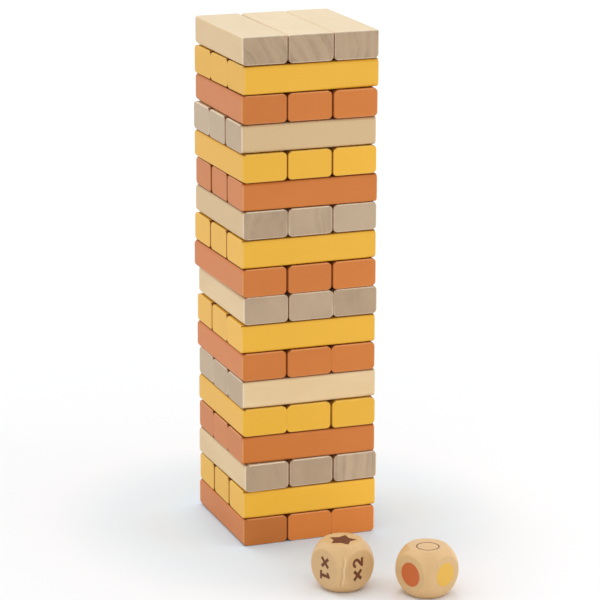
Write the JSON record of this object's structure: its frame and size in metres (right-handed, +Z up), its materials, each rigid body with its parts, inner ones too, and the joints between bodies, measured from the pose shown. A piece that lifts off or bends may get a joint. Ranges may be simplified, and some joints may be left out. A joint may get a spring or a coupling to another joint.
{
  "type": "tumbling tower game",
  "caption": "Stacking tower of crossed wooden block courses in natural, yellow and orange, whose blocks slide out one at a time, with an action die and a colour die.",
  "frame": {"origin": "middle of the tower's base, on the surface it stands on, under the bottom course's middle block", "axes": "+Z up the tower; +X to the right along the front, across the ends of the bottom course; +Y to the back, along the length of the bottom blocks; the dice stand in front, towards -Y"},
  "size_m": [0.0845, 0.1868, 0.2751],
  "materials": {
    "natural_wood": "matte",
    "yellow_paint": "satin",
    "orange_paint": "satin",
    "die_wood": "satin"
  },
  "bodies": {
    "orange_block_01_left": {"orange_block_01_left": "orange_paint"},
    "orange_block_01_middle": {"orange_block_01_middle": "orange_paint"},
    "orange_block_01_right": {"orange_block_01_right": "orange_paint"},
    "yellow_block_02_front": {"yellow_block_02_front": "yellow_paint"},
    "yellow_block_02_middle": {"yellow_block_02_middle": "yellow_paint"},
    "yellow_block_02_back": {"yellow_block_02_back": "yellow_paint"},
    "natural_block_03_left": {"natural_block_03_left": "natural_wood"},
    "natural_block_03_middle": {"natural_block_03_middle": "natural_wood"},
    "natural_block_03_right": {"natural_block_03_right": "natural_wood"},
    "orange_block_04_front": {"orange_block_04_front": "orange_paint"},
    "orange_block_04_middle": {"orange_block_04_middle": "orange_paint"},
    "orange_block_04_back": {"orange_block_04_back": "orange_paint"},
    "yellow_block_05_left": {"yellow_block_05_left": "yellow_paint"},
    "yellow_block_05_middle": {"yellow_block_05_middle": "yellow_paint"},
    "yellow_block_05_right": {"yellow_block_05_right": "yellow_paint"},
    "natural_block_06_front": {"natural_block_06_front": "natural_wood"},
    "natural_block_06_middle": {"natural_block_06_middle": "natural_wood"},
    "natural_block_06_back": {"natural_block_06_back": "natural_wood"},
    "orange_block_07_left": {"orange_block_07_left": "orange_paint"},
    "orange_block_07_middle": {"orange_block_07_middle": "orange_paint"},
    "orange_block_07_right": {"orange_block_07_right": "orange_paint"},
    "yellow_block_08_front": {"yellow_block_08_front": "yellow_paint"},
    "yellow_block_08_middle": {"yellow_block_08_middle": "yellow_paint"},
    "yellow_block_08_back": {"yellow_block_08_back": "yellow_paint"},
    "natural_block_09_left": {"natural_block_09_left": "natural_wood"},
    "natural_block_09_middle": {"natural_block_09_middle": "natural_wood"},
    "natural_block_09_right": {"natural_block_09_right": "natural_wood"},
    "orange_block_10_left": {"orange_block_10_left": "orange_paint"},
    "orange_block_10_middle": {"orange_block_10_middle": "orange_paint"},
    "orange_block_10_right": {"orange_block_10_right": "orange_paint"},
    "yellow_block_11_front": {"yellow_block_11_front": "yellow_paint"},
    "yellow_block_11_middle": {"yellow_block_11_middle": "yellow_paint"},
    "yellow_block_11_back": {"yellow_block_11_back": "yellow_paint"},
    "natural_block_12_left": {"natural_block_12_left": "natural_wood"},
    "natural_block_12_middle": {"natural_block_12_middle": "natural_wood"},
    "natural_block_12_right": {"natural_block_12_right": "natural_wood"},
    "orange_block_13_front": {"orange_block_13_front": "orange_paint"},
    "orange_block_13_middle": {"orange_block_13_middle": "orange_paint"},
    "orange_block_13_back": {"orange_block_13_back": "orange_paint"},
    "yellow_block_14_left": {"yellow_block_14_left": "yellow_paint"},
    "yellow_block_14_middle": {"yellow_block_14_middle": "yellow_paint"},
    "yellow_block_14_right": {"yellow_block_14_right": "yellow_paint"},
    "natural_block_15_front": {"natural_block_15_front": "natural_wood"},
    "natural_block_15_middle": {"natural_block_15_middle": "natural_wood"},
    "natural_block_15_back": {"natural_block_15_back": "natural_wood"},
    "orange_block_16_left": {"orange_block_16_left": "orange_paint"},
    "orange_block_16_middle": {"orange_block_16_middle": "orange_paint"},
    "orange_block_16_right": {"orange_block_16_right": "orange_paint"},
    "yellow_block_17_front": {"yellow_block_17_front": "yellow_paint"},
    "yellow_block_17_middle": {"yellow_block_17_middle": "yellow_paint"},
    "yellow_block_17_back": {"yellow_block_17_back": "yellow_paint"},
    "natural_block_18_left": {"natural_block_18_left": "natural_wood"},
    "natural_block_18_middle": {"natural_block_18_middle": "natural_wood"},
    "natural_block_18_right": {"natural_block_18_right": "natural_wood"},
    "action_die": {"action_die": "die_wood"},
    "colour_die": {"colour_die": "die_wood"}
  },
  "joints": [
    {"name": "orange_block_01_left_slide", "type": "slide", "parent": "orange_block_01_middle", "child": "orange_block_01_left", "axis": [0, 1, 0], "range_m": [0, 0.085]},
    {"name": "orange_block_01_right_slide", "type": "slide", "parent": "orange_block_01_middle", "child": "orange_block_01_right", "axis": [0, 1, 0], "range_m": [0, 0.085]},
    {"name": "yellow_block_02_front_slide", "type": "slide", "parent": "orange_block_01_middle", "child": "yellow_block_02_front", "axis": [1, -0.0087, 0], "range_m": [-0.085, 0.085]},
    {"name": "yellow_block_02_middle_slide", "type": "slide", "parent": "orange_block_01_middle", "child": "yellow_block_02_middle", "axis": [1, -0.0087, 0], "range_m": [-0.085, 0.085]},
    {"name": "yellow_block_02_back_slide", "type": "slide", "parent": "orange_block_01_middle", "child": "yellow_block_02_back", "axis": [1, -0.0087, 0], "range_m": [-0.085, 0.085]},
    {"name": "natural_block_03_left_slide", "type": "slide", "parent": "orange_block_01_middle", "child": "natural_block_03_left", "axis": [-0.014, 0.9999, 0], "range_m": [-0.085, 0.085]},
    {"name": "natural_block_03_middle_slide", "type": "slide", "parent": "orange_block_01_middle", "child": "natural_block_03_middle", "axis": [-0.014, 0.9999, 0], "range_m": [-0.085, 0.085]},
    {"name": "natural_block_03_right_slide", "type": "slide", "parent": "orange_block_01_middle", "child": "natural_block_03_right", "axis": [-0.014, 0.9999, 0], "range_m": [-0.085, 0.085]},
    {"name": "orange_block_04_front_slide", "type": "slide", "parent": "orange_block_01_middle", "child": "orange_block_04_front", "axis": [1, -0.0087, 0], "range_m": [-0.085, 0.085]},
    {"name": "orange_block_04_middle_slide", "type": "slide", "parent": "orange_block_01_middle", "child": "orange_block_04_middle", "axis": [1, -0.0087, 0], "range_m": [-0.085, 0.085]},
    {"name": "orange_block_04_back_slide", "type": "slide", "parent": "orange_block_01_middle", "child": "orange_block_04_back", "axis": [1, -0.0087, 0], "range_m": [-0.085, 0.085]},
    {"name": "yellow_block_05_left_slide", "type": "slide", "parent": "orange_block_01_middle", "child": "yellow_block_05_left", "axis": [0.0052, 1, 0], "range_m": [-0.085, 0.085]},
    {"name": "yellow_block_05_middle_slide", "type": "slide", "parent": "orange_block_01_middle", "child": "yellow_block_05_middle", "axis": [0.0052, 1, 0], "range_m": [-0.085, 0.085]},
    {"name": "yellow_block_05_right_slide", "type": "slide", "parent": "orange_block_01_middle", "child": "yellow_block_05_right", "axis": [0.0052, 1, 0], "range_m": [-0.085, 0.085]},
    {"name": "natural_block_06_front_slide", "type": "slide", "parent": "orange_block_01_middle", "child": "natural_block_06_front", "axis": [1, -0.0035, 0], "range_m": [-0.085, 0.085]},
    {"name": "natural_block_06_middle_slide", "type": "slide", "parent": "orange_block_01_middle", "child": "natural_block_06_middle", "axis": [1, -0.0035, 0], "range_m": [-0.085, 0.085]},
    {"name": "natural_block_06_back_slide", "type": "slide", "parent": "orange_block_01_middle", "child": "natural_block_06_back", "axis": [1, -0.0035, 0], "range_m": [-0.085, 0.085]},
    {"name": "orange_block_07_left_slide", "type": "slide", "parent": "orange_block_01_middle", "child": "orange_block_07_left", "axis": [-0.0035, 1, 0], "range_m": [-0.085, 0.085]},
    {"name": "orange_block_07_middle_slide", "type": "slide", "parent": "orange_block_01_middle", "child": "orange_block_07_middle", "axis": [-0.0035, 1, 0], "range_m": [-0.085, 0.085]},
    {"name": "orange_block_07_right_slide", "type": "slide", "parent": "orange_block_01_middle", "child": "orange_block_07_right", "axis": [-0.0035, 1, 0], "range_m": [-0.085, 0.085]},
    {"name": "yellow_block_08_front_slide", "type": "slide", "parent": "orange_block_01_middle", "child": "yellow_block_08_front", "axis": [1, -0.0017, 0], "range_m": [-0.085, 0.085]},
    {"name": "yellow_block_08_middle_slide", "type": "slide", "parent": "orange_block_01_middle", "child": "yellow_block_08_middle", "axis": [1, -0.0017, 0], "range_m": [-0.085, 0.085]},
    {"name": "yellow_block_08_back_slide", "type": "slide", "parent": "orange_block_01_middle", "child": "yellow_block_08_back", "axis": [1, -0.0017, 0], "range_m": [-0.085, 0.085]},
    {"name": "natural_block_09_left_slide", "type": "slide", "parent": "orange_block_01_middle", "child": "natural_block_09_left", "axis": [-0.0017, 1, 0], "range_m": [-0.085, 0.085]},
    {"name": "natural_block_09_middle_slide", "type": "slide", "parent": "orange_block_01_middle", "child": "natural_block_09_middle", "axis": [-0.0017, 1, 0], "range_m": [-0.085, 0.085]},
    {"name": "natural_block_09_right_slide", "type": "slide", "parent": "orange_block_01_middle", "child": "natural_block_09_right", "axis": [-0.0017, 1, 0], "range_m": [-0.085, 0.085]},
    {"name": "orange_block_10_left_slide", "type": "slide", "parent": "orange_block_01_middle", "child": "orange_block_10_left", "axis": [-0.0262, 0.9997, 0], "range_m": [-0.085, 0.085]},
    {"name": "orange_block_10_middle_slide", "type": "slide", "parent": "orange_block_01_middle", "child": "orange_block_10_middle", "axis": [-0.0262, 0.9997, 0], "range_m": [-0.085, 0.085]},
    {"name": "orange_block_10_right_slide", "type": "slide", "parent": "orange_block_01_middle", "child": "orange_block_10_right", "axis": [-0.0262, 0.9997, 0], "range_m": [-0.085, 0.085]},
    {"name": "yellow_block_11_front_slide", "type": "slide", "parent": "orange_block_01_middle", "child": "yellow_block_11_front", "axis": [0.9998, 0.0209, 0], "range_m": [-0.085, 0.085]},
    {"name": "yellow_block_11_middle_slide", "type": "slide", "parent": "orange_block_01_middle", "child": "yellow_block_11_middle", "axis": [0.9998, 0.0209, 0], "range_m": [-0.085, 0.085]},
    {"name": "yellow_block_11_back_slide", "type": "slide", "parent": "orange_block_01_middle", "child": "yellow_block_11_back", "axis": [0.9998, 0.0209, 0], "range_m": [-0.085, 0.085]},
    {"name": "natural_block_12_left_slide", "type": "slide", "parent": "orange_block_01_middle", "child": "natural_block_12_left", "axis": [-0.0175, 0.9998, 0], "range_m": [-0.085, 0.085]},
    {"name": "natural_block_12_middle_slide", "type": "slide", "parent": "orange_block_01_middle", "child": "natural_block_12_middle", "axis": [-0.0175, 0.9998, 0], "range_m": [-0.085, 0.085]},
    {"name": "natural_block_12_right_slide", "type": "slide", "parent": "orange_block_01_middle", "child": "natural_block_12_right", "axis": [-0.0175, 0.9998, 0], "range_m": [-0.085, 0.085]},
    {"name": "orange_block_13_front_slide", "type": "slide", "parent": "orange_block_01_middle", "child": "orange_block_13_front", "axis": [1, 0.007, 0], "range_m": [-0.085, 0.085]},
    {"name": "orange_block_13_middle_slide", "type": "slide", "parent": "orange_block_01_middle", "child": "orange_block_13_middle", "axis": [1, 0.007, 0], "range_m": [-0.085, 0.085]},
    {"name": "orange_block_13_back_slide", "type": "slide", "parent": "orange_block_01_middle", "child": "orange_block_13_back", "axis": [1, 0.007, 0], "range_m": [-0.085, 0.085]},
    {"name": "yellow_block_14_left_slide", "type": "slide", "parent": "orange_block_01_middle", "child": "yellow_block_14_left", "axis": [-0.0209, 0.9998, 0], "range_m": [-0.085, 0.085]},
    {"name": "yellow_block_14_middle_slide", "type": "slide", "parent": "orange_block_01_middle", "child": "yellow_block_14_middle", "axis": [-0.0209, 0.9998, 0], "range_m": [-0.085, 0.085]},
    {"name": "yellow_block_14_right_slide", "type": "slide", "parent": "orange_block_01_middle", "child": "yellow_block_14_right", "axis": [-0.0209, 0.9998, 0], "range_m": [-0.085, 0.085]},
    {"name": "natural_block_15_front_slide", "type": "slide", "parent": "orange_block_01_middle", "child": "natural_block_15_front", "axis": [0.9999, 0.0157, 0], "range_m": [-0.085, 0.085]},
    {"name": "natural_block_15_middle_slide", "type": "slide", "parent": "orange_block_01_middle", "child": "natural_block_15_middle", "axis": [0.9999, 0.0157, 0], "range_m": [-0.085, 0.085]},
    {"name": "natural_block_15_back_slide", "type": "slide", "parent": "orange_block_01_middle", "child": "natural_block_15_back", "axis": [0.9999, 0.0157, 0], "range_m": [-0.085, 0.085]},
    {"name": "orange_block_16_left_slide", "type": "slide", "parent": "orange_block_01_middle", "child": "orange_block_16_left", "axis": [-0.007, 1, 0], "range_m": [-0.085, 0.085]},
    {"name": "orange_block_16_middle_slide", "type": "slide", "parent": "orange_block_01_middle", "child": "orange_block_16_middle", "axis": [-0.007, 1, 0], "range_m": [-0.085, 0.085]},
    {"name": "orange_block_16_right_slide", "type": "slide", "parent": "orange_block_01_middle", "child": "orange_block_16_right", "axis": [-0.007, 1, 0], "range_m": [-0.085, 0.085]},
    {"name": "yellow_block_17_front_slide", "type": "slide", "parent": "orange_block_01_middle", "child": "yellow_block_17_front", "axis": [0.9995, 0.0332, 0], "range_m": [-0.085, 0.085]},
    {"name": "yellow_block_17_middle_slide", "type": "slide", "parent": "orange_block_01_middle", "child": "yellow_block_17_middle", "axis": [0.9995, 0.0332, 0], "range_m": [-0.085, 0.085]},
    {"name": "yellow_block_17_back_slide", "type": "slide", "parent": "orange_block_01_middle", "child": "yellow_block_17_back", "axis": [0.9995, 0.0332, 0], "range_m": [-0.085, 0.085]},
    {"name": "natural_block_18_left_lift", "type": "slide", "parent": "orange_block_01_middle", "child": "natural_block_18_left", "axis": [0, 0, 1], "range_m": [0, 0.06]},
    {"name": "natural_block_18_middle_lift", "type": "slide", "parent": "orange_block_01_middle", "child": "natural_block_18_middle", "axis": [0, 0, 1], "range_m": [0, 0.06]},
    {"name": "natural_block_18_right_lift", "type": "slide", "parent": "orange_block_01_middle", "child": "natural_block_18_right", "axis": [0, 0, 1], "range_m": [0, 0.06]},
    {"name": "action_die_lift", "type": "slide", "parent": "orange_block_01_middle", "child": "action_die", "axis": [0, 0, 1], "range_m": [0, 0.06]},
    {"name": "colour_die_lift", "type": "slide", "parent": "orange_block_01_middle", "child": "colour_die", "axis": [0, 0, 1], "range_m": [0, 0.06]}
  ]
}
